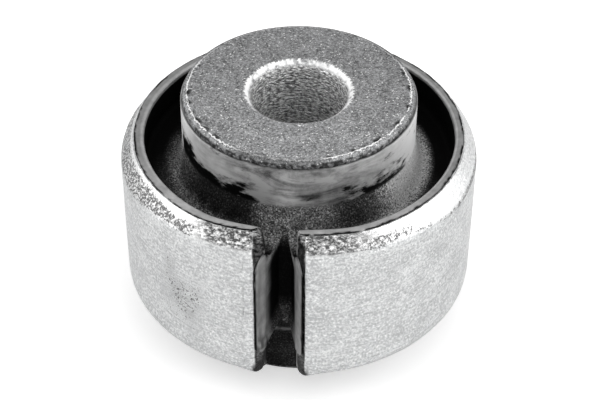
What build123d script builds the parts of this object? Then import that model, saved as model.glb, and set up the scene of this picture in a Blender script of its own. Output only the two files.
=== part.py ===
from build123d import *
import os
from math import radians, tan

# Rubber metal bush, standing on the lower end of its core.
#
# Three bonded pieces share the Z axis, and the origin is the middle of that axis:
#   inner_core    thick steel tube that the bolt clamps by its two end faces
#   outer_sleeve  steel ring pressed into the arm, split by one tapered slot at -Y
#   rubber_body   one moulding between them, with a trough at each end, a groove
#                 behind the slot, and thin skins that run up the metal
# The body is alike at both ends. All sizes are in millimetres.

# Inner core
CORE_LENGTH = 34.3
CORE_DIAMETER = 29.0
BORE_DIAMETER = 12.1
BORE_CHAMFER = 0.7
CORE_EDGE_RADIUS = 0.7

# Outer sleeve
SLEEVE_DIAMETER = 45.0
SLEEVE_LENGTH = 21.8
SLEEVE_WALL = 2.5
LEAD_IN_INSET = 1.7  # how far the long chamfer at the top comes in
LEAD_IN_HEIGHT = 2.4
TAIL_RADIUS = 1.9  # outer edge at the bottom
MOUTH_RADIUS = 0.4  # both inner edges
SLOT_WIDTH = 6.0  # across the slot at the outer surface
SLOT_TAPER = 21.0  # degrees between each cut face and the slot's middle plane

# Rubber body
TROUGH_HEIGHT = 6.7  # trough floor above the middle
COLLAR_HEIGHT = 10.1  # where the collar on the core thins out to a skin
COLLAR_THICKNESS = 0.9  # at the trough floor
COLLAR_FILLET = 0.9  # hollow curve at the collar's foot
WALL_FILLET = 0.8  # hollow curve from the trough floor up to the sleeve
CORE_SKIN = 0.15
SKIN_MARGIN = 0.15  # bare metal between a skin's end and the core's rounded edge
SLEEVE_LINING = 0.4
RIM_FILM = 0.15  # film over the sleeve's end faces
FILM_SETBACK = 0.1  # flat metal left bare outside the film
LIP_RADIUS = 0.3  # rounded edge where lining turns into film
GROOVE_WIDTH = 1.7  # across the groove at its floor
GROOVE_FLOOR_SKIN = 0.65  # rubber left on the core at the groove's floor
GROOVE_CORNER_RADIUS = 0.6
GROOVE_EDGE = 0.4  # broken edges where the groove meets the trough floors
FACE_LINING = 0.3  # rubber on the slot's cut faces, at their inner edge
FACE_LINING_EDGE = 0.1  # the same at their outer edge
FACE_LINING_RISE = 0.7  # how far that lining stands above the trough floor at its inner edge
FACE_LINING_DROP = 0.7  # how much shorter it gets towards its outer edge
FACE_LINING_SETBACK = 0.2  # bare metal outside it

# Places that follow from the sizes above
CORE_RADIUS = CORE_DIAMETER / 2
BORE_RADIUS = BORE_DIAMETER / 2
CORE_END = CORE_LENGTH / 2
SKIN_RADIUS = CORE_RADIUS + CORE_SKIN
SKIN_END = CORE_END - CORE_EDGE_RADIUS - SKIN_MARGIN
SLEEVE_RADIUS = SLEEVE_DIAMETER / 2
SLEEVE_BORE_RADIUS = SLEEVE_RADIUS - SLEEVE_WALL
SLEEVE_END = SLEEVE_LENGTH / 2
LINING_RADIUS = SLEEVE_BORE_RADIUS - SLEEVE_LINING
FILM_END = SLEEVE_END + RIM_FILM
PAST = 2.0  # how far a cutter runs past what it cuts


def slot_half_width(radius):
    """Half the slot's width at a distance from the axis, on its middle plane."""
    return SLOT_WIDTH / 2 - (SLEEVE_RADIUS - radius) * tan(radians(SLOT_TAPER))


def turned(section):
    """A section drawn with X as radius and Y as height, turned about the Z axis."""
    return revolve(Plane.XZ * section, Axis.Z)


def corners(section, *places):
    """The section's corners that lie at the given places."""
    return [v for v in section.vertices() if any((v.center() - Vector(*p)).length < 1e-4 for p in places)]


def inner_core():
    section = make_face(
        Polyline(
            (BORE_RADIUS, -CORE_END),
            (CORE_RADIUS, -CORE_END),
            (CORE_RADIUS, CORE_END),
            (BORE_RADIUS, CORE_END),
            close=True,
        )
    )
    section = chamfer(corners(section, (BORE_RADIUS, -CORE_END), (BORE_RADIUS, CORE_END)), BORE_CHAMFER)
    section = fillet(corners(section, (CORE_RADIUS, -CORE_END), (CORE_RADIUS, CORE_END)), CORE_EDGE_RADIUS)
    return turned(section)


def sleeve_ring():
    """The sleeve before its slot is cut."""
    section = make_face(
        Polyline(
            (SLEEVE_BORE_RADIUS, -SLEEVE_END),
            (SLEEVE_RADIUS, -SLEEVE_END),
            (SLEEVE_RADIUS, SLEEVE_END - LEAD_IN_HEIGHT),
            (SLEEVE_RADIUS - LEAD_IN_INSET, SLEEVE_END),
            (SLEEVE_BORE_RADIUS, SLEEVE_END),
            close=True,
        )
    )
    section = fillet(corners(section, (SLEEVE_RADIUS, -SLEEVE_END)), TAIL_RADIUS)
    mouths = corners(section, (SLEEVE_BORE_RADIUS, -SLEEVE_END), (SLEEVE_BORE_RADIUS, SLEEVE_END))
    section = fillet(mouths, MOUTH_RADIUS)
    return turned(section)


def slot_cutter():
    """The wedge that splits the sleeve at -Y, from inside its lining to clear of its outside."""
    near, far = SLEEVE_BORE_RADIUS - PAST, SLEEVE_RADIUS + PAST
    a, b = slot_half_width(near), slot_half_width(far)
    outline = Polyline((-a, -near), (-b, -far), (b, -far), (a, -near), close=True)
    return extrude(make_face(outline), amount=SLEEVE_END + PAST, both=True)


def groove_half_width(radius):
    """Half the groove's width behind the sleeve, at a distance from the axis."""
    deep = CORE_RADIUS + GROOVE_FLOOR_SKIN
    floor, throat = GROOVE_WIDTH / 2, slot_half_width(SLEEVE_BORE_RADIUS) - FACE_LINING
    return floor + (throat - floor) * (radius - deep) / (SLEEVE_BORE_RADIUS - deep)


def groove_cutter():
    """The clear space behind the slot: narrow at its rounded floor, wide at the slot's mouth."""
    deep = CORE_RADIUS + GROOVE_FLOOR_SKIN
    floor = GROOVE_WIDTH / 2
    throat = slot_half_width(SLEEVE_BORE_RADIUS) - FACE_LINING
    mouth = slot_half_width(SLEEVE_RADIUS) - FACE_LINING_EDGE
    spread = (mouth - throat) / SLEEVE_WALL
    far = mouth + spread * PAST
    section = make_face(
        Polyline(
            (-floor, -deep),
            (-throat, -SLEEVE_BORE_RADIUS),
            (-far, -SLEEVE_RADIUS - PAST),
            (far, -SLEEVE_RADIUS - PAST),
            (throat, -SLEEVE_BORE_RADIUS),
            (floor, -deep),
            close=True,
        )
    )
    section = fillet(corners(section, (-floor, -deep), (floor, -deep)), GROOVE_CORNER_RADIUS)
    return extrude(section, amount=SLEEVE_END + PAST, both=True)


def half_section(flat_radius):
    """The moulding's upper half, skins included, where the sleeve's end face is flat out to a radius."""
    film = flat_radius - FILM_SETBACK
    collar = SKIN_RADIUS + COLLAR_THICKNESS - CORE_SKIN
    half = make_face(
        Polyline(
            (CORE_RADIUS, 0),
            (CORE_RADIUS, SKIN_END),
            (SKIN_RADIUS, SKIN_END),
            (SKIN_RADIUS, COLLAR_HEIGHT),
            (collar, TROUGH_HEIGHT),
            (LINING_RADIUS, TROUGH_HEIGHT),
            (LINING_RADIUS, FILM_END),
            (film, FILM_END),
            (film, 0),
            close=True,
        )
    )
    half = fillet(corners(half, (collar, TROUGH_HEIGHT)), COLLAR_FILLET)
    half = fillet(corners(half, (LINING_RADIUS, TROUGH_HEIGHT)), WALL_FILLET)
    half = fillet(corners(half, (LINING_RADIUS, FILM_END)), LIP_RADIUS)
    return half


def face_lining():
    """Rubber on the slot's two cut faces, which gets shorter towards the outside."""
    near, far = SLEEVE_BORE_RADIUS - SLEEVE_LINING / 2, SLEEVE_RADIUS - FACE_LINING_SETBACK
    tall = TROUGH_HEIGHT + FACE_LINING_RISE
    low = tall - FACE_LINING_DROP
    outline = Polyline((near, -tall), (far, -low), (far, low), (near, tall), close=True)
    return turned(make_face(outline)) & slot_cutter()


def groove_flare():
    """The groove's edges broken where they meet the upper trough floor."""
    deep = CORE_RADIUS + COLLAR_THICKNESS
    far = LINING_RADIUS - WALL_FILLET
    outline = Polyline(
        (-GROOVE_WIDTH / 2, -deep),
        (-groove_half_width(far), -far),
        (groove_half_width(far), -far),
        (GROOVE_WIDTH / 2, -deep),
        close=True,
    )
    low = Plane.XY.offset(TROUGH_HEIGHT - GROOVE_EDGE)
    return extrude(low * make_face(outline), amount=2 * GROOVE_EDGE, taper=-45)


def rubber_body(sleeve):
    upper = half_section(SLEEVE_RADIUS - LEAD_IN_INSET)
    lower = mirror(half_section(SLEEVE_RADIUS - TAIL_RADIUS), Plane.XZ)
    body = turned(upper + lower) + face_lining()
    flare = groove_flare()
    return body - sleeve - groove_cutter() - flare - mirror(flare, Plane.XY)


def main():
    os.makedirs("parts", exist_ok=True)
    sleeve = sleeve_ring() - slot_cutter()
    export_step(inner_core(), "parts/inner_core.step")
    export_step(sleeve, "parts/outer_sleeve.step")
    export_step(rubber_body(sleeve), "parts/rubber_body.step")


main()
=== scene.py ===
from math import cos, pi, radians, sin, tan

import bpy
import numpy as np
from mathutils import Matrix, Vector, noise


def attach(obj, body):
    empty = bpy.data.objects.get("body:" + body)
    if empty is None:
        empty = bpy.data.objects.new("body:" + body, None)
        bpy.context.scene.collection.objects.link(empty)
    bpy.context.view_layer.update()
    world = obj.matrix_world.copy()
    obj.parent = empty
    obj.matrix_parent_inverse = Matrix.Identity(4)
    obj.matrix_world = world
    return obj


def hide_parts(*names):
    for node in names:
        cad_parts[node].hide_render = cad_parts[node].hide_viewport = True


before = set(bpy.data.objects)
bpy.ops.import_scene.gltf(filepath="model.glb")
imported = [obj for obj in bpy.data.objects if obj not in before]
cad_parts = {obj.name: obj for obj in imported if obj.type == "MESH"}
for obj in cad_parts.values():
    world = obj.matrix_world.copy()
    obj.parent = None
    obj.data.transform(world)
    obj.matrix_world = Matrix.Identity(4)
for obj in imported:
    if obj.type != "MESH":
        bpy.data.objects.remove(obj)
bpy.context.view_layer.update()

# Rubber metal bush: a thick steel tube, a slotted steel sleeve and the rubber moulded
# between them. Lengths below are in millimetres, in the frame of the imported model:
# the bore runs along Z, the origin is its middle, and the slot faces -Y. Azimuths are
# counted from the slot's middle, positive to its right as seen from outside.
MM = 0.001

# Core
CORE_BORE, CORE_RADIUS, CORE_END = 6.05, 14.5, 17.15
CORE_CHAMFER, CORE_ROUNDING = 0.7, 0.7
CORE_RIM = CORE_RADIUS - CORE_ROUNDING  # radius where the flat ends meet the rounded edges
BORE_STRAIGHT = CORE_END - CORE_CHAMFER  # height where the bore's chamfers begin
BURR_HEIGHT, DENT_DEPTH = 0.05, 0.03  # burr on the top end, and the dents of both ends

# Sleeve
SLEEVE_BORE, SLEEVE_RADIUS, SLEEVE_END = 20.0, 22.5, 10.9
LEAD_IN_TOP = 20.8  # radius where the long chamfer meets the end face
BREAK_BELOW, BREAK_ABOVE = 0.7, 0.5  # the soft edge between wall and chamfer, either way from its middle
TAIL_ROUNDING, TAIL_TIGHTER = 2.0, 0.8  # lower outer edge, and how much less of it beside the slot
MOUTH_ROUNDING, MOUTH_SOFTER = 0.4, 0.45  # inner edges, and how much more beside the slot
ROLLED_EDGE = 0.28  # how far the wall rolls in at the cut faces
LEAN = 0.55  # how far the top leans in beside the slot
WALL_WAVE, GRINDING = 0.03, 0.04  # depth of the wall's waves, and of the ground lead-in's roughness
SLOT_HALF, SLOT_SLOPE = 3.0, tan(radians(21.0))  # half width at the outside, and its taper
CORNER_START, CORNER_CURVE = 7.9, 3.05  # where the cut faces start to stand back, and over what height

# Rubber
SKIN, SKIN_END = 0.15, 16.3  # rubber skin on the core and where it stops
SKIN_RADIUS = CORE_RADIUS + SKIN
COLLAR_TOP, TROUGH = 10.1, 6.65
COLLAR_FOOT = 16.3  # radius where the collar's hollow curve runs out into the trough
WALL_HOLLOW = 0.8  # hollow curve from the trough up to the lining
LINING = 19.6  # radius of the rubber lining's face inside the sleeve
FILM, FILM_EDGE = 0.15, 20.66  # rubber film on the sleeve's end faces, and its outer radius
LIP = 0.3  # rounding where the lining turns into the film
FLOOR_RADIUS, FLOOR_HALF, THROAT_HALF = 15.15, 0.85, 1.74  # groove behind the slot
GROOVE_MOUTH = 2.6  # depth over which the groove narrows towards both troughs
FLAP, FLAP_THINNER = 0.3, 0.2  # rubber on the slot's cut faces, and what it loses outwards
FLAP_END, FLAP_TOP, FLAP_LOW = 22.4, 7.8, 6.2  # its outer radius, and its top at either radius


# --- making ---


def linear(code):
    """A colour written as sRGB hex, as the shader wants it."""
    parts = [int(code[i : i + 2], 16) / 255 for i in (1, 3, 5)]
    return tuple(c / 12.92 if c <= 0.04045 else ((c + 0.055) / 1.055) ** 2.4 for c in parts) + (1.0,)


def legs(*stops):
    """Even steps between stops: a first point, then (point, steps) for each leg."""
    run = [np.atleast_1d(np.array(stops[0], float))]
    for end, steps in stops[1:]:
        start, end = run[-1], np.atleast_1d(np.array(end, float))
        run += [start + (end - start) * n / steps for n in range(1, steps + 1)]
    return np.array(run).squeeze()


def rounding(centre, radius, first, last, steps):
    """Points on an arc, without its first one, as (point, 1) legs."""
    turn = [radians(first + (last - first) * n / steps) for n in range(1, steps + 1)]
    return [((centre[0] + radius * cos(t), centre[1] + radius * sin(t)), 1) for t in turn]


def grain(places, size):
    """Smooth random values, about -1 to 1, with features of that size in millimetres."""
    return np.array([noise.noise(Vector(p)) for p in places / size])


def ragged(azimuth, size, seed=0.0):
    """A random value for each azimuth that closes on itself, with features of that size at the rim."""
    rim = 20
    ring = np.stack([np.cos(azimuth) * rim, np.sin(azimuth) * rim, np.full_like(azimuth, seed)], -1)
    return grain(ring.reshape(-1, 3), size).reshape(azimuth.shape)


def fade(value, none, full):
    """0 at none and 1 at full, eased at both ends."""
    t = np.clip((value - none) / (full - none), 0, 1)
    return t * t * (3 - 2 * t)


def near_to(distance, reach):
    """1 at no distance, falling as a parabola to 0 at reach."""
    return np.clip(1 - distance / reach, 0, 1) ** 2


def polar(places):
    """Radius, azimuth and distance from the middle plane of each point."""
    across, back = places[:, 0], places[:, 1]
    return np.hypot(across, back), np.arctan2(across, -back), np.abs(places[:, 2])


def from_slot(azimuth):
    """Degrees away from the slot's middle, on either side."""
    return np.degrees(np.abs((azimuth + pi) % (2 * pi) - pi))


def shell(filled, place, ring):
    """The outside of a block of cells, each filled or not, as points and four-sided faces.

    The cells are counted inwards to outwards, upwards and round. place gives the position of
    cell corners, and ring says that the last cell round meets the first."""
    across, up, round_ = filled.shape
    turns = round_ if ring else round_ + 1
    count = (across + 1, up + 1, turns)
    faces = []
    for axis in range(3):
        pad = [(0, 0)] * 3
        pad[axis] = (1, 1)
        padded = np.pad(filled, pad)
        if ring and axis == 2:
            padded[:, :, 0] = filled[:, :, -1]
            padded[:, :, -1] = filled[:, :, 0]
        before = np.take(padded, range(padded.shape[axis] - 1), axis)
        after = np.take(padded, range(1, padded.shape[axis]), axis)
        if ring and axis == 2:
            before, after = before[:, :, :-1], after[:, :, :-1]
        b, c = [a for a in range(3) if a != axis]
        for facing, chosen in ((1, before & ~after), (-1, after & ~before)):
            corner = np.argwhere(chosen)
            walk = [(0, 0), (1, 0), (1, 1), (0, 1)]
            if (facing == 1) == (axis == 1):
                walk = walk[::-1]
            quad = []
            for db, dc in walk:
                at = corner.copy()
                at[:, b] += db
                at[:, c] += dc
                if ring:
                    at[:, 2] %= turns
                quad.append(np.ravel_multi_index(at.T, count))
            faces.append(np.stack(quad, -1))
    faces = np.concatenate(faces)
    used, faces = np.unique(faces, return_inverse=True)
    corners = np.stack(np.unravel_index(used, count), -1)
    return place(*corners.T), faces.reshape(-1, 4), corners


def piece(name, places, faces, node, slot, material, **marks):
    """Makes the mesh, with a mark for each point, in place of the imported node."""
    mesh = bpy.data.meshes.new(name)
    mesh.from_pydata((places * MM).tolist(), [], faces.tolist())
    for mark, values in marks.items():
        layer = mesh.attributes.new(mark, "FLOAT", "POINT")
        layer.data.foreach_set("value", np.asarray(values, np.float32))
    mesh.polygons.foreach_set("use_smooth", [True] * len(mesh.polygons))
    mesh.materials.append(material)
    mesh.validate()
    mesh.update()
    made = bpy.data.objects.new(name, mesh)
    bpy.context.scene.collection.objects.link(made)
    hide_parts(node)
    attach(made, "root")
    return made


def slot_half(radius):
    """Half the slot's width between its cut faces, at that distance from the axis."""
    half = np.full_like(radius, SLOT_HALF)
    for _ in range(4):  # the taper is measured on the middle plane, so this settles step by step
        half = SLOT_HALF - (SLEEVE_RADIUS - np.sqrt(radius**2 - half**2)) * SLOT_SLOPE
    return half


def corner_cut(part, height):
    """How far the cut faces stand back at the top, from the bore (part 0) to the outside (part 1).

    Gives the right side and the left side of the slot. Both have a broken edge outside as well."""
    bend = 1 - np.sqrt(1 - np.clip((height - CORNER_START) / CORNER_CURVE, 0, 0.999) ** 2)
    edge = np.clip((part - 0.7) / 0.3, 0, 1) ** 2
    right = bend * (0.15 + 0.7 * part) + 0.26 * edge
    left = bend * (0.85 + 0.75 * part) + 0.14 * edge
    return right, left


def pulled_in(azimuth, height):
    """How far the top of the sleeve leans in beside the slot, where the split ends were closed up."""
    return LEAN * fade(from_slot(azimuth), 30, 9) * fade(height, 7.6, 11.6)


# --- materials ---

NOISE, MAPPING, MARK = "ShaderNodeTexNoise", "ShaderNodeMapping", "ShaderNodeAttribute"
MATH, VECTOR_MATH, RANGE = "ShaderNodeMath", "ShaderNodeVectorMath", "ShaderNodeMapRange"
MIX, BUMP, RAYS = "ShaderNodeMix", "ShaderNodeBump", "ShaderNodeLightPath"
SHADER, SURFACE = "ShaderNodeBsdfPrincipled", "ShaderNodeOutputMaterial"
COLOURS = {"data_type": "RGBA"}


def add(tree, kind, inputs=(), output=None, **settings):
    """Adds a node with its settings, and gives each input a value or a link.

    An input is named, or numbered where a node has several of one name. What comes back is
    the output of that name, or else the first one in use."""
    made = tree.nodes.new(kind)
    for setting, value in settings.items():
        setattr(made, setting, value)
    for place, value in dict(inputs).items():
        if isinstance(place, str):
            socket = next(s for s in made.inputs if s.enabled and s.name == place)
        else:
            socket = made.inputs[place]
        if isinstance(value, bpy.types.NodeSocket):
            tree.links.new(value, socket)
        else:
            socket.default_value = value
    if output:
        return made.outputs[output]
    return next((s for s in made.outputs if s.enabled), None)


def new_material(name):
    """An empty material, its nodes, and the surface position in millimetres."""
    made = bpy.data.materials.new(name)
    made.use_nodes = True
    tree = made.node_tree
    tree.nodes.clear()
    where = add(tree, "ShaderNodeTexCoord", output="Object")
    mm = add(tree, VECTOR_MATH, {"Vector": where, "Scale": 1 / MM}, operation="SCALE")
    return made, tree, mm


def blasted_steel():
    """Shot-blasted steel: a dull grey skin of fine dimples, with white flecks painted on as the points of
    light that they catch.

    Real dimples are about 0.1 mm across, too fine to show, so they are drawn at 0.27 mm and the painted
    glints among them at 0.2 mm. In the bore they run together into flat pebbles, 0.5 mm wide and 0.24 mm
    tall, with painted glints on them. The burr's crest carries a painted highlight, a bright thread at the
    rim, with darkening beside it, and the bore's lip carries a painted highlight too."""
    made, tree, mm = new_material("shot_blasted_steel")
    bore, lip, burr, grime = [
        add(tree, MARK, output="Fac", attribute_name=name) for name in ("bore", "bore_lip", "burr", "grime")
    ]
    dimple = add(tree, NOISE, {"Vector": mm, "Scale": 1 / 0.27, "Detail": 2.0, "Roughness": 0.8})
    fleck = add(tree, NOISE, {"Vector": mm, "Scale": 1 / 0.2, "Detail": 0.0})
    patch = add(tree, NOISE, {"Vector": mm, "Scale": 1 / 2.5, "Detail": 3.0})
    flattened = add(tree, MAPPING, {"Vector": mm, "Scale": (1 / 0.5, 1 / 0.5, 1 / 0.24)})
    pebble = add(tree, NOISE, {"Vector": flattened, "Scale": 1.0, "Detail": 2.0, "Roughness": 0.6})

    # grey on the ends and the side, lighter and darker by patches, with white flecks that are painted glints
    both = add(tree, MATH, {0: patch, 1: 0.25, 2: dimple}, operation="MULTIPLY_ADD")
    level = add(tree, RANGE, {"Value": both, "From Min": 0.43, "From Max": 0.8})
    grey = add(tree, MIX, {"Factor": level, "A": linear("#464647"), "B": linear("#B4B5B6")}, **COLOURS)
    spark = add(tree, RANGE, {"Value": fleck, "From Min": 0.71, "From Max": 0.82})
    flecked = add(tree, MIX, {"Factor": spark, "A": grey, "B": linear("#FFFFFF")}, **COLOURS)

    # the bore with painted glints on its pebbles, its lip and the darkening
    glint = add(tree, RANGE, {"Value": pebble, "From Min": 0.38, "From Max": 0.68})
    bored = add(tree, MIX, {"Factor": glint, "A": linear("#707070"), "B": linear("#FFFFFF")}, **COLOURS)
    inside = add(tree, MIX, {"Factor": bore, "A": flecked, "B": bored}, **COLOURS)
    dirty = add(tree, MIX, {"Factor": grime, "A": inside, "B": linear("#181818")}, **COLOURS)

    # the burr's crest, a painted highlight: a thread that wanders about its circle
    flat = add(tree, VECTOR_MATH, {0: mm, 1: (1.0, 1.0, 0.0)}, operation="MULTIPLY")
    out = add(tree, VECTOR_MATH, {"Vector": flat}, operation="LENGTH")
    wander = add(tree, NOISE, {"Vector": flat, "Scale": 1 / 0.55, "Detail": 3.0, "Roughness": 0.75})
    drift = add(tree, MATH, {0: wander, 1: 1.0, 2: out}, operation="MULTIPLY_ADD")
    middle = 0.5  # of what the noise gives
    off = add(tree, MATH, {0: drift, 1: CORE_RIM + middle + 0.04}, operation="SUBTRACT")
    distance = add(tree, MATH, {0: off}, operation="ABSOLUTE")
    thread = add(tree, RANGE, {"Value": distance, "From Min": 0.12, "From Max": 0.04})
    crest = add(tree, MATH, {0: thread, 1: burr}, operation="MULTIPLY")
    # painted highlights on the burr's crest and on the bore's lip
    bright = add(tree, MATH, {0: crest, 1: lip}, operation="MAXIMUM")
    worn = add(tree, MIX, {"Factor": bright, "A": dirty, "B": linear("#FAFAFA")}, **COLOURS)

    relief = add(tree, MIX, {"Factor": bore, "A": dimple, "B": pebble})
    deep = add(tree, RANGE, {"Value": bore, "To Min": 0.12 * MM, "To Max": 0.3 * MM})
    shader = add(tree, SHADER, {
        "Base Color": worn,
        "Metallic": add(tree, RANGE, {"Value": bright, "To Min": 0.85, "To Max": 0.3}),
        "Roughness": add(tree, RANGE, {"Value": patch, "To Min": 0.45, "To Max": 0.62}),
        "Normal": add(tree, BUMP, {"Height": relief, "Strength": 1.0, "Distance": deep}),
    })
    add(tree, SURFACE, {"Surface": shader})
    return made


def plated_steel():
    """Zinc-plated drawn steel: pale and matt, with faint streaks round the ring from the drawing, and painted
    white glints.

    The lead-in was ground: it is near white with dark pits, partly a painted highlight that fades towards the
    sides, and has dark smears beside the slot. The cut faces are torn, with a painted shade darkening them,
    and darkened at their edges by rubber flash and at the split's bottom corners by painted shade. The
    plating's grain is under 0.1 mm, too fine to show, so its peel and the pits are drawn at 0.3 mm and the
    streaks 0.24 mm tall."""
    made, tree, mm = new_material("zinc_plated_drawn_steel")
    lead_in, mottled, pitted, cut_face, flash = [
        add(tree, MARK, output="Fac", attribute_name=name)
        for name in ("lead_in", "mottled", "pitted", "cut_face", "rubber_flash")
    ]
    drawn = add(tree, MAPPING, {"Vector": mm, "Scale": (0.33, 0.33, 4.2)})
    streaks = add(tree, NOISE, {"Vector": drawn, "Scale": 1.0, "Detail": 5.0, "Roughness": 0.7})
    peel = add(tree, NOISE, {"Vector": mm, "Scale": 1 / 0.3, "Detail": 2.0, "Roughness": 0.6})
    cloud = add(tree, NOISE, {"Vector": mm, "Scale": 1 / 3.5, "Detail": 2.0})
    pocks = add(tree, NOISE, {"Vector": mm, "Scale": 1 / 0.3, "Detail": 2.0, "Roughness": 0.75})

    # the wall: pale grey, with darker hairlines and white painted glints
    both = add(tree, MATH, {0: streaks, 1: 0.6, 2: peel}, operation="MULTIPLY_ADD")
    clouded = add(tree, MATH, {0: cloud, 1: 0.25, 2: both}, operation="MULTIPLY_ADD")
    level = add(tree, RANGE, {"Value": clouded, "From Min": 0.785, "From Max": 1.075})
    even = add(tree, MIX, {"Factor": level, "A": linear("#BABBBC"), "B": linear("#E8E9E9")}, **COLOURS)
    hairline = add(tree, RANGE, {"Value": streaks, "From Min": 0.40, "From Max": 0.30, "To Max": 0.45})
    lined = add(tree, MIX, {"Factor": hairline, "A": even, "B": linear("#7C7C7C")}, **COLOURS)
    glint = add(tree, RANGE, {"Value": peel, "From Min": 0.62, "From Max": 0.74})
    wall = add(tree, MIX, {"Factor": glint, "A": lined, "B": linear("#FFFFFF")}, **COLOURS)

    # the lead-in: ground bright, partly a painted highlight, with dark smears beside the slot
    smear = add(tree, MAPPING, {"Vector": mm, "Scale": (1 / 0.6, 1 / 0.6, 1 / 0.3)})
    smears = add(tree, NOISE, {"Vector": smear, "Scale": 1.0, "Detail": 3.0, "Roughness": 0.75})
    blotch = add(tree, RANGE, {"Value": smears, "From Min": 0.30, "From Max": 0.57})
    shade = add(tree, MIX, {"Factor": blotch, "A": linear("#F8F8F8"), "B": linear("#484848")}, **COLOURS)
    pale = add(tree, MIX, {"Factor": peel, "A": linear("#CCCCCC"), "B": linear("#FAFAFA")}, **COLOURS)
    ground = add(tree, MIX, {"Factor": mottled, "A": pale, "B": shade}, **COLOURS)
    plated = add(tree, MIX, {"Factor": lead_in, "A": wall, "B": ground}, **COLOURS)

    # pits: the more of them, the lower the limit that the pocks have to pass
    limit = add(tree, RANGE, {"Value": pitted, "To Min": 0.76, "To Max": 0.42})
    above = add(tree, MATH, {0: pocks, 1: limit}, operation="SUBTRACT")
    pit = add(tree, RANGE, {"Value": above, "From Min": -0.02, "From Max": 0.12})
    pocked = add(tree, MIX, {"Factor": pit, "A": plated, "B": linear("#5E5E5E")}, **COLOURS)

    # the cut faces: torn ribs that slope with the punch, 1.2 mm long and 0.3 mm thick, painted dark as a
    # shade
    sloping = {"Vector": mm, "Rotation": (radians(-40), 0, 0), "Scale": (1.2, 1.2, 0.3)}
    rib = add(tree, MAPPING, sloping, vector_type="TEXTURE")
    ribs = add(tree, NOISE, {"Vector": rib, "Scale": 1.0, "Detail": 4.0, "Roughness": 0.7})
    torn = add(tree, RANGE, {"Value": ribs, "From Min": 0.40, "From Max": 0.60})
    sheared = add(tree, MIX, {"Factor": torn, "A": linear("#0E0E0E"), "B": linear("#8C8C8C")}, **COLOURS)
    cut = add(tree, MIX, {"Factor": cut_face, "A": pocked, "B": sheared}, **COLOURS)
    # rubber flash, and painted shade at the bottom corners of the split
    smeared = add(tree, MIX, {"Factor": flash, "A": cut, "B": linear("#060606")}, **COLOURS)

    skin = add(tree, BUMP, {"Height": both, "Strength": 1.0, "Distance": 0.09 * MM})
    dented = {"Height": pit, "Strength": 0.8, "Distance": 0.10 * MM, "Normal": skin}
    shader = add(tree, SHADER, {
        "Base Color": smeared,
        "Metallic": add(tree, RANGE, {"Value": lead_in, "To Min": 0.9, "To Max": 0.75}),
        "Roughness": add(tree, RANGE, {"Value": streaks, "To Min": 0.30, "To Max": 0.50}),
        "Normal": add(tree, BUMP, dented, invert=True),
    })
    add(tree, SURFACE, {"Surface": shader})
    return made


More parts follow.
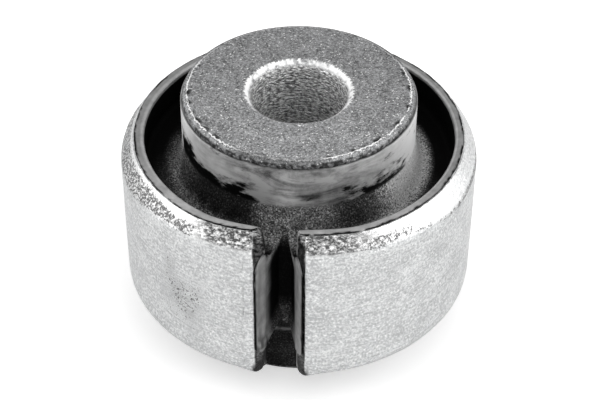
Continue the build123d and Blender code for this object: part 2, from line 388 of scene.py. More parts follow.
def moulded_rubber():
    """Moulded natural rubber, black with pale dust, thinning to a grey skin where it runs up the steel.

    The skin is cloudy and streaked round the core, with black blots along its foot, and a painted highlight
    on its sides. The dust mark also carries a painted pool of light on the collar at the sides. Dust is finer
    than it can show, so its specks are drawn at 0.2 mm."""
    made, tree, mm = new_material("moulded_rubber")
    thin, dust, dark_edge, skin_foot, film, burnish = [
        add(tree, MARK, output="Fac", attribute_name=name)
        for name in ("thin", "dust", "dark_edge", "skin_foot", "film", "burnish")
    ]
    cloud = add(tree, NOISE, {"Vector": mm, "Scale": 1 / 1.4, "Detail": 5.0, "Roughness": 0.65})
    speck = add(tree, NOISE, {"Vector": mm, "Scale": 1 / 0.2, "Detail": 1.0})

    # bare rubber: near black, hazy with dust, lit grey on the collar's sides by painted light, with single
    # bright grains
    black = add(tree, MIX, {"Factor": cloud, "A": linear("#010101"), "B": linear("#060606")}, **COLOURS)
    settled = add(tree, MATH, {0: dust, 1: cloud}, operation="MULTIPLY")
    fine = {"Value": speck, "From Min": 0.36, "From Max": 0.66, "To Min": 0.25, "To Max": 1.75}
    grit = add(tree, RANGE, fine)
    haze = add(tree, MATH, {0: settled, 1: grit}, operation="MULTIPLY", use_clamp=True)
    dusted = add(tree, MIX, {"Factor": haze, "A": black, "B": linear("#B4B4B4")}, **COLOURS)
    spot = add(tree, RANGE, {"Value": speck, "From Min": 0.64, "From Max": 0.74})
    dots = add(tree, MATH, {0: spot, 1: dust}, operation="MULTIPLY")
    dotted = add(tree, MIX, {"Factor": dots, "A": dusted, "B": linear("#E4E4E4")}, **COLOURS)

    # skin on the core: slanting waves 9 mm long and 2.4 mm tall, and blots 3.6 mm by 1.25 mm
    slant = {"Location": (23, 0, 0), "Rotation": (0, radians(7), 0), "Scale": (0.11, 0.11, 0.42)}
    wave = add(tree, MAPPING, {"Vector": mm, **slant})
    swirled = {"Vector": wave, "Scale": 1.0, "Detail": 7.0, "Roughness": 0.66, "Distortion": 0.7}
    waves = add(tree, NOISE, swirled)
    rippled = add(tree, MATH, {0: cloud, 1: 0.35, 2: waves}, operation="MULTIPLY_ADD")
    sheen = add(tree, RANGE, {"Value": rippled, "From Min": 0.56, "From Max": 0.79})
    greys = add(tree, MIX, {"Factor": sheen, "A": linear("#484848"), "B": linear("#ACACAC")}, **COLOURS)
    # painted highlight on the skin's sides
    rubbed = add(tree, MIX, {"Factor": burnish, "A": greys, "B": linear("#F0F0F0")}, **COLOURS)
    blot = add(tree, MAPPING, {"Vector": mm, "Location": (17, 0, 0), "Scale": (0.28, 0.28, 0.8)})
    blots = add(tree, NOISE, {"Vector": blot, "Scale": 1.0, "Detail": 6.0, "Roughness": 0.65})
    uneven = add(tree, MATH, {0: blots, 1: 1.6, 2: -0.3}, operation="MULTIPLY_ADD")
    thick = add(tree, MATH, {0: skin_foot, 1: 0.42, 2: uneven}, operation="MULTIPLY_ADD")
    patch = add(tree, RANGE, {"Value": thick, "From Min": 0.66, "From Max": 0.86})
    patched = add(tree, MIX, {"Factor": patch, "A": rubbed, "B": linear("#0A0A0A")}, **COLOURS)

    # film and lining on the sleeve: a smoother, paler grey
    smooth = add(tree, MIX, {"Factor": cloud, "A": linear("#707070"), "B": linear("#D0D0D0")}, **COLOURS)
    skins = add(tree, MIX, {"Factor": film, "A": patched, "B": smooth}, **COLOURS)
    colour = add(tree, MIX, {"Factor": thin, "A": dotted, "B": skins}, **COLOURS)
    edged = add(tree, MIX, {"Factor": dark_edge, "A": colour, "B": linear("#050505")}, **COLOURS)

    relief = add(tree, MATH, {0: waves, 1: 1.5, 2: speck}, operation="MULTIPLY_ADD")
    shader = add(tree, SHADER, {
        "Base Color": edged,
        "Metallic": add(tree, MATH, {0: thin, 1: 0.45}, operation="MULTIPLY"),
        "Roughness": add(tree, RANGE, {"Value": thin, "To Min": 0.7, "To Max": 0.38}),
        "Specular IOR Level": 0.035,
        "Normal": add(tree, BUMP, {"Height": relief, "Strength": 0.4, "Distance": 0.05 * MM}),
    })
    add(tree, SURFACE, {"Surface": shader})
    return made


# --- pieces ---


def make_core():
    """The thick tube: chamfered bore, flat ends with a burr at the rim, rounded outer edges."""
    side_end = CORE_END - CORE_ROUNDING
    inside = legs(
        (CORE_BORE + CORE_CHAMFER, -CORE_END),
        ((CORE_BORE, -BORE_STRAIGHT), 5),
        ((CORE_BORE, BORE_STRAIGHT), 38),
        ((CORE_BORE + CORE_CHAMFER, CORE_END), 5),
    )
    outside = legs(
        (CORE_RIM, -CORE_END),
        *rounding((CORE_RIM, -side_end), CORE_ROUNDING, -90, 0, 9),
        ((CORE_RADIUS, side_end), 30),
        *rounding((CORE_RIM, side_end), CORE_ROUNDING, 0, 90, 9),
    )
    across, round_ = 34, 540

    def place(i, j, k):
        part = inside[j] + (outside[j] - inside[j]) * (i / across)[:, None]
        a = 2 * pi * k / round_
        return np.stack([part[:, 0] * np.sin(a), -part[:, 0] * np.cos(a), part[:, 1]], -1)

    filled = np.ones((across, len(inside) - 1, round_), bool)
    places, faces, _ = shell(filled, place, True)
    radius, azimuth, height = polar(places)
    turned, aside = np.degrees(azimuth), from_slot(azimuth)
    upper, face = places[:, 2] > 0, height > CORE_END - 0.05

    # the burr follows the rim: strong on the right and the left at the top, all round below; this mask also
    # places the painted highlight on its crest
    right = fade(turned, 12, 24) * fade(turned, 128, 112)
    left = fade(-turned, 20, 34) * fade(-turned, 125, 100)
    front = np.maximum(right, left)
    on_end = fade(height, CORE_END - 0.5, CORE_END - 0.2) * fade(radius, CORE_RIM - 0.9, CORE_RIM - 0.4)
    whole = fade(ragged(azimuth, 1.3, 3.0), -0.5, -0.15)
    burr = on_end * np.where(upper, np.maximum(front, 0.35), 1) * whole
    line = CORE_RIM + 0.05 + 0.1 * ragged(azimuth, 0.8)

    # darkening inside the burr and in a band on the rounded edge, a thin painted shade over the back of the
    # top, and painted shade at the rim
    stain = fade(ragged(azimuth, 2.0, 20.0) + 0.7 * grain(places, 0.6), 0.05, 0.4)
    grime = fade(np.abs(radius - line + 0.22), 0.5, 0.15) * on_end * stain
    band = fade(height, CORE_END - 0.12, CORE_END - 0.3) * (radius > CORE_RIM)
    grime = np.maximum(grime, band * (0.5 + 0.45 * fade(grain(places, 0.45), -0.15, 0.25)))
    grime = np.where(face, grime * np.maximum(front, 0.3), grime)
    # painted shade: the top is thinly darker towards the back
    grime = np.maximum(grime, face * upper * 0.2 * fade(places[:, 1], -13, 9))
    # painted shade at the rim where the burr's painted highlight is not
    grime = np.maximum(grime, 0.55 * on_end * fade(radius, CORE_RIM - 0.3, CORE_RIM + 0.1) * (1 - front))

    # a painted highlight on the bore's mouths, but not towards the slot, where their chamfer faces away
    bore = (radius < CORE_BORE + 0.05) * 1.0
    lip_edge = CORE_BORE + CORE_CHAMFER + 0.02 + 0.2 * ragged(azimuth, 0.7, 30.0)
    lip = (radius < lip_edge) * fade(height, BORE_STRAIGHT + 0.02, BORE_STRAIGHT + 0.3)
    lip = lip * fade(grain(places, 0.7) + 0.3, -0.3, 0.3) * fade(aside, 25, 75)
    lip *= 1 - 0.8 * fade(aside, 148, 172) * fade(grain(places, 0.5), -0.4, 0.1)

    dents = np.where(face, DENT_DEPTH * grain(places, 0.5) - DENT_DEPTH, 0)
    crest = BURR_HEIGHT * burr * upper * fade(np.abs(radius - line), 0.2, 0.05)
    places[:, 2] += np.sign(places[:, 2]) * (dents + crest)
    return piece(
        "steel_core", places, faces, "inner_core", "core_steel", blasted_steel(),
        burr=burr, grime=grime, bore=bore, bore_lip=lip,
    )


# Levels of the sleeve's mesh: round the tail, up the wall, over the soft edge and up the
# chamfer; its inner edges have their own. Then the steps from its bore to its outside.
TAIL_STEPS, WALL_STEPS, BREAK_STEPS, CONE_STEPS, MOUTH_STEPS = 8, 18, 3, 16, 4
WALL_TOP = TAIL_STEPS + WALL_STEPS
CONE_FOOT = WALL_TOP + BREAK_STEPS
SLEEVE_TOP = CONE_FOOT + CONE_STEPS
SLEEVE_ACROSS = 8


def lead_in_foot(azimuth):
    """Height where the lead-in chamfer meets the wall: it is shallower beside the slot."""
    away = (0, 15, 20, 30, 40, 48, 60, 80, 180)
    heights = (9.9, 9.9, 9.75, 9.45, 9.1, 8.7, 8.2, 8.4, 8.4)
    return np.interp(np.degrees(np.abs(azimuth)), away, heights)


def sleeve_outside(foot, away):
    """Radius and height of the sleeve's outside at each level and step round, and how far up its chamfer.

    foot is the height of the chamfer's foot and away the distance from the nearer cut face, at
    each step round. Up the chamfer counts from 0 at its foot to 1, and is -1 on the wall."""
    radius = np.zeros((SLEEVE_TOP + 1, len(foot)))
    height = np.zeros_like(radius)
    tail_r = TAIL_ROUNDING - TAIL_TIGHTER * near_to(away, 3.0)
    bend = np.radians(np.linspace(-90, 0, TAIL_STEPS + 1))[:, None]
    radius[: TAIL_STEPS + 1] = SLEEVE_RADIUS - tail_r * (1 - np.cos(bend))
    height[: TAIL_STEPS + 1] = -SLEEVE_END + tail_r * (1 + np.sin(bend))
    climb = np.linspace(0, 1, WALL_STEPS + 1)[:, None]
    wall_foot, wall_end = height[TAIL_STEPS], foot - BREAK_BELOW
    radius[TAIL_STEPS : WALL_TOP + 1] = SLEEVE_RADIUS
    height[TAIL_STEPS : WALL_TOP + 1] = wall_foot + (wall_end - wall_foot) * climb
    ease = np.linspace(0, 1, BREAK_STEPS + 1)[:, None]
    slope = (SLEEVE_RADIUS - LEAD_IN_TOP) / (SLEEVE_END - foot)
    radius[WALL_TOP : CONE_FOOT + 1] = SLEEVE_RADIUS - slope * BREAK_ABOVE * ease**2
    height[WALL_TOP : CONE_FOOT + 1] = wall_end + (BREAK_BELOW + BREAK_ABOVE) * ease
    climb = np.linspace(0, 1, CONE_STEPS + 1)[:, None]
    start_r, start_z = radius[CONE_FOOT], height[CONE_FOOT]
    radius[CONE_FOOT:] = start_r + (LEAD_IN_TOP - start_r) * climb
    height[CONE_FOOT:] = start_z + (SLEEVE_END - start_z) * climb
    up_cone = np.full_like(radius, -1.0)
    up_cone[WALL_TOP:] = np.clip((height[WALL_TOP:] - foot) / (SLEEVE_END - foot), -1, 1)
    return radius, height, up_cone


def sleeve_inside(away):
    """Radius and height of the sleeve's bore at each level and step round, with its soft edges."""
    radius = np.full((SLEEVE_TOP + 1, len(away)), SLEEVE_BORE)
    height = np.zeros_like(radius)
    soft = MOUTH_ROUNDING + MOUTH_SOFTER * near_to(away, 1.5)
    bend = np.radians(np.linspace(0, 90, MOUTH_STEPS + 1))[:, None]
    radius[: MOUTH_STEPS + 1] = SLEEVE_BORE + soft * (1 - np.sin(bend))
    height[: MOUTH_STEPS + 1] = -SLEEVE_END + soft * (1 - np.cos(bend))
    top = SLEEVE_TOP - MOUTH_STEPS
    climb = np.linspace(0, 1, top - MOUTH_STEPS + 1)[:, None]
    height[MOUTH_STEPS : top + 1] = (-SLEEVE_END + soft) + 2 * (SLEEVE_END - soft) * climb
    radius[top:] = radius[: MOUTH_STEPS + 1][::-1]
    height[top:] = -height[: MOUTH_STEPS + 1][::-1]
    return radius, height


def wear_marks(places, azimuth, up_cone):
    """How far the outside is ground bright, with a painted highlight on it that fades towards the sides,
    mottled and pitted, and where pits cluster on the wall.
    """
    turned, aside = np.degrees(azimuth), from_slot(azimuth)
    reach = 0.35 * fade(aside, 35, 12)  # beside the slot the grinding starts lower
    # the pale ground colour is partly a painted highlight: it fades by three quarters towards the sides
    lead_in = fade(up_cone + reach, -0.1, 0.08) * (1 - 0.75 * fade(aside, 50, 74))
    right = np.maximum(fade(turned, 32, 12), 0.2 * fade(turned, 52, 38))
    mottled = np.where(turned > 0, right, fade(-turned * 1.8, 46, 26)) * fade(up_cone + reach, -0.16, 0.04)

    # pits lie low on the chamfer, higher up on the left, and few of them on the right
    tall = 0.3 * fade(-turned, 25, 45) * fade(-turned, 165, 120)
    low = fade(up_cone + reach, -0.25, -0.05) * (1 - 0.75 * fade(up_cone, 0.4 + tall, 0.7 + tall))
    clean = fade(turned, 22, 56) * fade(turned, 125, 100) * fade(up_cone, -0.05, 0.2)
    pitted = low * (1 - mottled) * (1 - clean) + np.where(turned > 0, 0.5, 0.15) * mottled
    pitted += 0.25 * fade(turned, 54, 74) * fade(turned, 125, 100)

    # the cluster's middle is 27 degrees left of the slot and 1 mm below the middle
    spot = np.hypot((turned + 27) / 15, (places[:, 2] + 1) / 7) + 0.5 * grain(places, 2.5)
    cluster = 0.75 * fade(spot, 1.3, 0.2) * fade(-turned, 2, 10)
    return lead_in, mottled, pitted, cluster


def flash_mark(places, at, azimuth, away, last):
    """Where the sleeve is darkened: rubber flash, and painted shade at the bottom corners of the split. last
    is the number of the left cut face's step.
    """
    i, j, k = at.T
    height, part = places[:, 2], i / SLEEVE_ACROSS
    outer, right, left = i == SLEEVE_ACROSS, k == 0, k == last
    bottom = -SLEEVE_END
    sides = fade(from_slot(azimuth), 35, 75)

    # painted shade at the bottom corners of the split, outside and on the cut faces
    near_end = fade(away, 0.7 + 0.4 * ragged(azimuth, 0.5), 0.1)
    corner = near_end * fade(height + 0.5 * grain(places, 0.8), bottom + 1.7, bottom + 0.9)
    foot = fade(height + 0.7 * grain(places, 0.6), bottom + 2.5, bottom + 1.6)
    # ragged strips up the outer edges of the cut faces, and crumbs at the top of the right one
    speckle = fade(grain(places * (1, 1, 0.6), 0.5), -0.35, 0.1)
    right_edge = right & (part > 0.72) & (height < 8.0)
    left_edge = left & (part > 0.7) & (height < 10.6)
    crumbs = right & (i > 1) & (height > 7.0) & (height < 10.4)
    # a row of dots on the wall, 1.25 mm from the left cut face
    dots = fade(np.abs(away - 1.25), 0.14, 0.02) * fade(grain(places * (1, 1, 0.8), 0.7), -0.05, 0.25)
    on_wall = outer & (j > TAIL_STEPS) & (j < WALL_TOP) & (k > last / 2)
    # a dark seam where the film meets the top of the chamfer, stronger at the sides
    seam = fade(grain(places, 0.5) + 0.5 * sides, -0.05, 0.25) * (0.5 + 0.5 * sides)
    return np.maximum.reduce([
        corner,
        (right | left) * foot,
        right_edge * speckle,
        left_edge * 0.8 * speckle,
        crumbs * 0.85 * fade(grain(places, 0.6), -0.35, 0.0),
        on_wall * 0.45 * dots,
        (outer & (j == SLEEVE_TOP)) * seam,
    ])


def make_sleeve():
    """The split ring: a ground lead-in chamfer at the top, a rounded tail, and two sheared cut faces."""
    # steps round the ring from the right cut face to the left: fine beside them, even elsewhere
    half = slot_half(np.array([SLEEVE_RADIUS]))[0] / SLEEVE_RADIUS
    fine, whole = radians(5.0), 2 * pi - 2 * half
    near = np.linspace(0, 1, 17) ** 1.3 * fine
    even = np.linspace(fine, whole - fine, 760)
    steps = np.concatenate([near, even[1:-1], whole - near[::-1]])
    share = steps / steps[-1]
    last = len(share) - 1
    opposite = -pi + 2 * pi * share
    azimuth = np.where(opposite < 0, opposite + pi, opposite - pi)  # near enough for what varies slowly
    foot = lead_in_foot(azimuth) + 0.10 * ragged(azimuth, 1.2) + 0.05 * ragged(azimuth, 0.4, 5.0)
    away = np.minimum(steps, steps[-1] - steps) * SLEEVE_RADIUS
    roll = ROLLED_EDGE * near_to(away, 1.0)
    outer_r, outer_z, up_cone = sleeve_outside(foot, away)
    outer_r -= roll
    inner_r, inner_z = sleeve_inside(away)
    for end in (0, -1):  # some flat is left on both end faces
        inner_r[end] = np.minimum(inner_r[end], outer_r[end] - 0.05)

    def place(i, j, k):
        part = 1 - (1 - i / SLEEVE_ACROSS) ** 1.5
        radius = inner_r[j, k] + (outer_r[j, k] - inner_r[j, k]) * part
        height = inner_z[j, k] + (outer_z[j, k] - inner_z[j, k]) * part
        right, left = corner_cut(part, height)
        before_roll = radius + roll[k] * part
        first = np.arcsin((slot_half(before_roll) + right) / before_roll)
        final = np.arcsin((slot_half(before_roll) + left) / before_roll)
        angle = first + (2 * pi - first - final) * share[k]
        radius = radius - pulled_in(angle, height)
        return np.stack([radius * np.sin(angle), -radius * np.cos(angle), height], -1)

    filled = np.ones((SLEEVE_ACROSS, SLEEVE_TOP, last), bool)
    places, faces, at = shell(filled, place, False)
    i, j, k = at.T
    outer, on_cone = i == SLEEVE_ACROSS, j >= WALL_TOP
    lead_in, mottled, pitted, cluster = wear_marks(places, azimuth[k], up_cone[j, k])
    # rubber flash, and painted shade at the bottom corners of the split
    flash = flash_mark(places, at, azimuth[k], away[k], last)
    cut = ((k == 0) | (k == last)) * fade(i / SLEEVE_ACROSS, 1.0, 0.93)
    uneven = WALL_WAVE * grain(places, 7.0) - WALL_WAVE + GRINDING * grain(places, 0.45) * lead_in
    push = np.where(outer & (j < SLEEVE_TOP), uneven, 0)
    places[:, :2] *= (1 + push / polar(places)[0])[:, None]
    return piece(
        "steel_sleeve", places, faces, "outer_sleeve", "sleeve_steel", plated_steel(),
        lead_in=outer * lead_in, mottled=(outer & on_cone) * mottled,
        pitted=outer * np.where(on_cone, pitted, cluster), cut_face=cut, rubber_flash=flash,
    )


def groove_half(radius, depth):
    """Half the gap in the rubber, at a radius and a depth below its top: the groove, then the slot."""
    throat = FLOOR_HALF + (THROAT_HALF - FLOOR_HALF) * (radius - FLOOR_RADIUS) / (SLEEVE_BORE - FLOOR_RADIUS)
    radii = (14.5, 15.15, 16.1, 16.9, 17.8, 18.8, 20.0)
    halves = (0.2, 0.25, 0.5, 0.7, 0.95, 1.2, 1.7)
    mouth = np.interp(radius, radii, halves)
    throat = mouth + (throat - mouth) * fade(depth, 0.0, GROOVE_MOUTH)
    outwards = (radius - SLEEVE_BORE) / (FLAP_END - SLEEVE_BORE)
    return np.where(radius > SLEEVE_BORE, slot_half(radius) - FLAP + FLAP_THINNER * outwards, throat)


def steel_half(radius, depth):
    """Half the gap to the steel; inside its bore, to a line 0.31 mm behind the groove's wall."""
    inside = groove_half(np.minimum(radius, SLEEVE_BORE), depth) + 0.31
    return np.where(radius > SLEEVE_BORE, slot_half(radius), inside)


def rubber_top(radius):
    """Height of the rubber's top, from the collar over the trough and out along the flaps."""
    inwards = np.clip((COLLAR_FOOT - radius) / (COLLAR_FOOT - SKIN_RADIUS), 0, 1)
    collar = (COLLAR_TOP - TROUGH) * inwards**3.2
    out = np.clip(radius - (LINING - WALL_HOLLOW), 0, WALL_HOLLOW)
    hollow = WALL_HOLLOW - np.sqrt(WALL_HOLLOW**2 - out**2)
    outwards = np.clip((radius - SLEEVE_BORE) / (FLAP_END - SLEEVE_BORE), 0, 1)
    flap = FLAP_TOP + (FLAP_LOW - FLAP_TOP) * outwards**3.2
    return np.where(radius > SLEEVE_BORE, flap, TROUGH + collar + hollow)


def make_rubber():
    """The moulding: collar and trough at each end, groove behind the slot, and thin skins on the steel."""
    # lines from the core outwards: skin, groove's floor, collar, trough, lining, bore and flaps
    body = np.concatenate([
        [CORE_RADIUS],
        legs(SKIN_RADIUS, (FLOOR_RADIUS, 4), (16.2, 8), (18.8, 9), (LINING, 5)),
        [SLEEVE_BORE],
    ])
    lines = np.concatenate([body, np.linspace(SLEEVE_BORE, FLAP_END, 9)[1:]])
    at_floor, at_lining, at_bore = 5, len(body) - 2, len(body) - 1
    film = at_bore + 4

    # levels upwards: the lower skins, from trough to trough, and the upper skins
    skins, mids, lip_steps = 16, 16, 4
    low, high, last = skins, skins + mids, 2 * skins + mids
    even = np.linspace(-1, 1, mids + 1)
    share = np.sign(even) * (1 - (1 - np.abs(even)) ** 1.9)

    # steps round the axis, from the groove's middle out to the far side, then mirrored
    groove, wrap = 5, 2  # to the groove's wall, and from there to the steel
    near = np.cumsum(np.geomspace(0.35, 0.9, 24))
    rest = np.linspace(near[-1], 180, 176)[1:]
    spread = np.concatenate([[0], near, rest]) / 180
    half = groove + wrap + len(spread) - 1
    round_ = 2 * half
    count = np.arange(round_)

    # ragged ends of the skin on the core and of the film, step by step round
    ring = 2 * pi * count / round_
    skin_end = SKIN_END + 0.16 * ragged(ring, 2.2) + 0.1 * ragged(ring, 0.6, 4.0)
    past = np.where(count <= half, count, round_ - count) - groove - wrap
    blunt = np.where(count > half, 0.5, 0.1) * np.clip(1 - np.clip(past, 0, None) / 6, 0, 1) ** 1.5
    film_end = FILM_EDGE - blunt + 0.09 * ragged(ring, 1.5, 2.0) + 0.06 * ragged(ring, 0.5, 9.0)
    film_end -= 0.15 * fade(from_slot(ring), 20, 8)

    def turn(radius, k, depth, back):
        """Azimuth of step k. back is how far the steel stands back, right and left of the slot."""
        side = np.where(k <= half, 1, -1)
        step = np.where(k <= half, k, round_ - k)
        wall = np.arcsin(groove_half(radius, depth) / radius)
        steel = np.arcsin((steel_half(radius, depth) + np.where(side > 0, back[0], back[1])) / radius)
        inside = wall * step / groove
        between = wall + (steel - wall) * (step - groove) / wrap
        outside = steel + (pi - steel) * spread[np.clip(step - groove - wrap, 0, len(spread) - 1)]
        return side * np.where(step <= groove, inside, np.where(step <= groove + wrap, between, outside))

    def place(i, j, k):
        radius = lines[i].copy()
        rise = np.abs(j - (low + high) / 2) - mids / 2  # levels above the trough, at either end
        up = np.sign(j - (low + high) / 2)
        height = rubber_top(radius) * share[np.clip(j - low, 0, mids)]

        # skin on the core
        on_core = (i <= 1) & (rise > 0)
        climb = np.clip(rise / skins, 0, 1)
        height = np.where(on_core, up * (COLLAR_TOP + (skin_end[k] - COLLAR_TOP) * climb), height)

        # lining, which is thicker on the left, and its rounded lip
        foot, straight, flat = rubber_top(np.array([LINING]))[0], SLEEVE_END + FILM - LIP, skins - lip_steps
        arc = np.clip((rise - flat) / lip_steps, 0, 1) * pi / 2
        up_wall, up_lip = foot + (straight - foot) * rise / flat, straight + LIP * np.sin(arc)
        lining_z = np.where(rise <= flat, up_wall, up_lip)
        about = np.degrees(turn(np.full(len(k), LINING), k, np.full(len(k), 9.0), [0, 0]))
        thicker = 0.2 * fade(np.abs(about + 80), 70, 30)
        on_lining = (i == at_lining) & (rise > 0)
        height = np.where(on_lining, up * lining_z, height)
        radius = np.where(on_lining, LINING - thicker + LIP * (1 - np.cos(arc)), radius)

        # the bore of the steel, and the film on its ends
        bore_z = np.where(rise >= skins, SLEEVE_END + FILM, foot + (SLEEVE_END - foot) * rise / (skins - 1))
        height = np.where((i >= at_bore) & (rise > 0), up * bore_z, height)
        film_r = SLEEVE_BORE + (film_end[k] - SLEEVE_BORE) * (i - at_bore) / (film - at_bore)
        radius = np.where((i > at_bore) & (rise > 0), film_r, radius)

        bonded = (i >= at_lining) & (rise > 0)
        depth = np.clip(rubber_top(radius) - np.abs(height), 0, 9)
        cuts = corner_cut(0.12 * (i > at_bore), np.where(height > 0, height, 0))
        angle = turn(radius, k, depth, [np.where(bonded, cut, 0) for cut in cuts])
        radius = np.where(bonded, radius - pulled_in(angle, height), radius)
        return np.stack([radius * np.sin(angle), -radius * np.cos(angle), height], -1)

    filled = np.zeros((len(lines) - 1, last, round_), bool)
    step = np.minimum(count, round_ - 1 - count)
    beyond_wall, beyond_steel = step >= groove, step >= groove + wrap
    filled[0, :, :] = True
    filled[1:at_floor, low:high, :] = True
    filled[at_floor:at_bore, low:high, beyond_wall] = True
    filled[at_lining:at_bore, :, beyond_steel] = True
    filled[at_bore:film, 0, beyond_steel] = True
    filled[at_bore:film, -1, beyond_steel] = True
    filled[at_bore:, low:high, beyond_wall & ~beyond_steel] = True
    places, faces, at = shell(filled, place, True)
    i, j, k = at.T
    radius, azimuth, height = polar(places)
    level, upper = places[:, 2], places[:, 2] > 0
    turned, aside = np.degrees(azimuth), from_slot(azimuth)
    rise = np.abs(j - (low + high) / 2) - mids / 2
    step = np.minimum(k, round_ - k)

    # skin on the core: dark along its foot, with a painted highlight at the sides; scuffed below
    dark_foot = fade(np.abs(turned + 43), 34, 24) + 0.85 * fade(np.abs(turned - 45), 28, 16)
    behind = fade(ragged(azimuth, 6.0, 50.0), -0.4, 0.6) * fade(aside, 85, 110)
    dark_foot = np.maximum(dark_foot, behind)
    rise_up = 1.4 * fade(-turned, 45, 65) + 0.6 * fade(turned, 52, 64)
    skin_foot = fade(height, 14.2 + rise_up, 11.0 + rise_up) * dark_foot
    # painted highlight on the skin's sides, and a little everywhere away from the slot
    burnish = 0.85 * fade(turned, 40, 84) * fade(turned, 125, 100)
    burnish += 1.1 * fade(-turned, 44, 80) * fade(-turned, 125, 100)
    burnish += np.where(turned < 0, 0.36, 0.22) * fade(aside, 12, 40)
    scuff = fade(np.abs(height - 9.6) + 0.3 * np.abs(grain(places, 1.5)), 0.5, 0.2)
    scuff = scuff * (radius < SKIN_RADIUS + 0.2)
    skin_foot = np.where(upper, skin_foot, 1 - scuff)
    on_core = (i <= 1) & (rise > 1)
    thin = np.where(upper, on_core * fade(height, COLLAR_TOP, COLLAR_TOP + 0.9), 0.9 * scuff)

    # film and lining on the sleeve, and the pale inner edges of the groove
    on_film = (i >= at_bore) & (rise > 0)
    on_lip = (i == at_lining) & (rise >= skins - lip_steps)
    bare_end = (i >= at_lining) & (i <= at_bore)
    right_end = (k == groove + wrap) & bare_end & (rise > 0)
    left_end = (round_ - k == groove + wrap) & bare_end & (rise > 2)
    inwards = (step == groove) & (i <= at_bore) & (i > at_floor)
    coated = (on_film | (i > at_bore) | on_lip | right_end) * 1.0
    coated = np.where(inwards, 0.85 * fade(radius, 17.6, 20.4) * fade(height, 7.6, 6.4), coated)
    thin = np.maximum(thin, coated)

    # black edges: round the film, outside and on top of the flaps, up the left end, atop the skin; towards
    # the sides the film is darkened as a painted shade
    sides = fade(aside, 35, 75)
    worn = i + 0.9 * ragged(azimuth, 0.6, 40.0) + 1.0 * ragged(azimuth, 1.9, 41.0) + 0.55 * sides
    rim = np.maximum(fade(worn, film - 1.0, film - 0.1), 0.38 * sides)
    outside = fade(radius + 0.25 * grain(places, 0.6), FLAP_END - 0.35, FLAP_END - 0.05)
    scuffs = fade(grain(places * (1, 1, 0.7), 0.9), -0.25, 0.15) * fade(level, -2.8, -5.2) * (k > half)
    scuffs += 0.45 * fade(grain(places * (1, 1, 0.35), 1.3), -0.2, 0.45)
    dark_edge = np.maximum.reduce([
        on_film * rim,
        ((i > at_bore) & (rise <= 0)) * outside,
        ((i > at_bore) & (rise == 0)) * 0.6,
        left_end * 0.9,
        ((i >= at_bore) & (rise <= 0)) * 0.75 * np.clip(scuffs, 0, 1),
        ((i <= 1) & (rise > 0)) * 0.7 * fade(height, 16.0, 16.35),
    ])

    # dust in the upper trough, some at the groove's ends, a little below; the most, at the sides, is a
    # painted pool of light on the collar, bright by the core and gone further out
    front = fade(np.abs(turned), 90, 30)
    # painted light: the collar's sides lit grey near the core
    beside = 4.5 * fade(np.abs(turned - 88), 56, 8) + 0.9 * fade(np.abs(turned + 75), 35, 10)
    dust = front * fade(radius, 19.0, 16.8) * 0.55 + beside * fade(radius, 17.3, 15.1)
    dust *= 1 - 0.9 * dark_foot * fade(radius + 0.3 * grain(places, 1.0), 16.0, 15.1) * fade(beside, 3.0, 0.2)
    dust = dust * (level > 6.4) * (radius > SKIN_RADIUS - 0.02) * (i < at_lining)
    in_groove = (step <= groove) & (i >= at_floor) & (i < at_lining) & (rise <= 0)
    dust = np.where(in_groove, 0.01 + 0.3 * fade(-level, 3.8, 6.2) + 0.5 * fade(level, 5.3, 6.6), dust)
    dust = np.where(~upper & ~in_groove & (rise >= 0), 0.06 + 0.05 * grain(places, 2.0), dust)
    made = piece(
        "rubber_moulding", places, faces, "rubber_body", "black_rubber", moulded_rubber(),
        thin=thin, dust=dust, dark_edge=dark_edge, film=coated, skin_foot=skin_foot, burnish=burnish,
    )

    # moulded edges are soft where the groove meets the troughs
    off = np.abs(step - groove)
    off_skin = radius > SKIN_RADIUS + 0.1
    soft = (off <= 6) & (i > 1) & (i < at_bore) & (rise > -5) & (radius < 19.5)
    soft |= (off <= 3) & (i >= at_floor - 2) & (i < at_floor + 5) & off_skin
    soft |= (off <= 1) & (i >= at_bore - 4) & (rise <= 0)
    group = made.vertex_groups.new(name="soft_edges")
    group.add(np.flatnonzero(soft).tolist(), 1.0, "ADD")
    smooth = made.modifiers.new("soft_edges", "SMOOTH")
    smooth.vertex_group = group.name
    smooth.factor = 0.5
    smooth.iterations = 6
    return made


# --- stage, light and camera ---


def make_stage():
    """A flat pale floor under the core, large enough that its far edge is out of sight."""
    floor_z, reach = -CORE_END * MM, 3.0
    ways = [(-1, -1), (1, -1), (1, 1), (-1, 1)]
    corners = [(reach * across, reach * back, floor_z) for across, back in ways]
    mesh = bpy.data.meshes.new("floor")
    mesh.from_pydata(corners, [], [(0, 1, 2, 3)])
    floor = bpy.data.objects.new("floor", mesh)
    bpy.context.scene.collection.objects.link(floor)

    # white paper that also glows a little, for the camera alone, so that it shows nearly white
    made = bpy.data.materials.new("matt_white_paper")
    made.use_nodes = True
    tree = made.node_tree
    tree.nodes.clear()
    paper = add(tree, "ShaderNodeBsdfDiffuse", {"Color": linear("#F4F4F4")})
    seen = add(tree, RAYS, output="Is Camera Ray")
    lift = add(tree, MATH, {0: seen, 1: 0.38}, operation="MULTIPLY")
    glow = add(tree, "ShaderNodeEmission", {"Strength": lift})
    both = add(tree, "ShaderNodeAddShader", {0: paper, 1: glow})
    add(tree, SURFACE, {"Surface": both})
    mesh.materials.append(made)


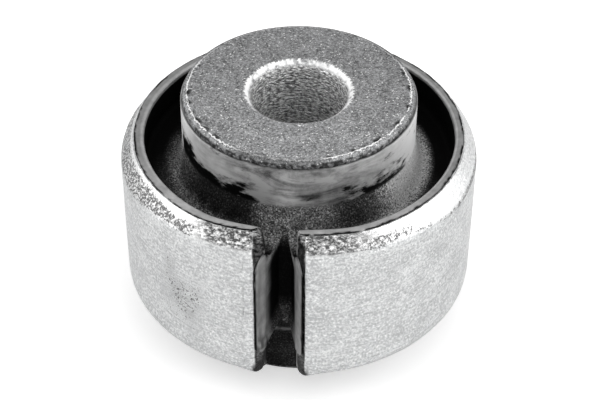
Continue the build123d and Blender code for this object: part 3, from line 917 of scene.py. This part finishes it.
def make_light():
    """A white studio that is twice as bright to look at as it lights, and three soft lamps."""
    world = bpy.data.worlds.new("studio")
    bpy.context.scene.world = world
    world.use_nodes = True
    tree = world.node_tree
    tree.nodes.clear()
    camera, glossy, through = [
        add(tree, RAYS, output=name) for name in ("Is Camera Ray", "Is Glossy Ray", "Is Transmission Ray")
    ]
    either = add(tree, MATH, {0: camera, 1: glossy}, operation="MAXIMUM")
    seen = add(tree, MATH, {0: either, 1: through}, operation="MAXIMUM")
    level = add(tree, RANGE, {"Value": seen, "To Min": 0.5, "To Max": 1.0})
    sky = add(tree, "ShaderNodeBackground", {"Color": (1, 1, 1, 1), "Strength": level})
    add(tree, "ShaderNodeOutputWorld", {"Surface": sky})

    # name, place and width in metres, power in watts; each faces the bush
    for name, place, size, power in (
        ("left", (-0.45, -0.10, 0.22), 0.5, 1.5),
        ("right", (0.45, -0.10, 0.22), 0.5, 2.05),
        ("above", (0.05, -0.30, 0.45), 0.3, 0.3),
    ):
        lamp = bpy.data.lights.new(name, "AREA")
        lamp.shape = "SQUARE"
        lamp.size = size
        lamp.energy = power
        facing = (-Vector(place)).to_track_quat("-Z", "Y").to_matrix().to_4x4()
        made = bpy.data.objects.new(name, lamp)
        made.matrix_world = Matrix.Translation(place) @ facing
        bpy.context.scene.collection.objects.link(made)


def make_camera():
    """A long lens, 40 degrees above the horizon and a little to the right of the slot."""
    azimuth, lift, tilt = radians(6.0), radians(39.98), radians(0.238)
    # from the bush's middle, sized by the sleeve
    away, aside, below = 9.7056 * SLEEVE_RADIUS, 0.0081 * SLEEVE_RADIUS, 0.0176 * SLEEVE_RADIUS
    focal_pixels, picture_pixels, sensor = 1683.3, 600, 36.0
    forward = Vector((-sin(azimuth) * cos(lift), cos(azimuth) * cos(lift), -sin(lift)))
    right = Vector((cos(azimuth), sin(azimuth), 0))
    above = right.cross(forward)
    place = (-away * forward + aside * right - below * above) * MM
    data = bpy.data.cameras.new("camera")
    data.sensor_width = sensor
    data.lens = focal_pixels / picture_pixels * sensor
    made = bpy.data.objects.new("camera", data)
    turned = Matrix((right, above, -forward)).transposed() @ Matrix.Rotation(tilt, 3, "Z")
    made.matrix_world = Matrix.Translation(place) @ turned.to_4x4()
    bpy.context.scene.collection.objects.link(made)
    bpy.context.scene.camera = made


bpy.context.scene.view_settings.view_transform = "Standard"
make_camera()
make_light()
make_stage()
make_core()
make_sleeve()
make_rubber()

bpy.context.view_layer.update()
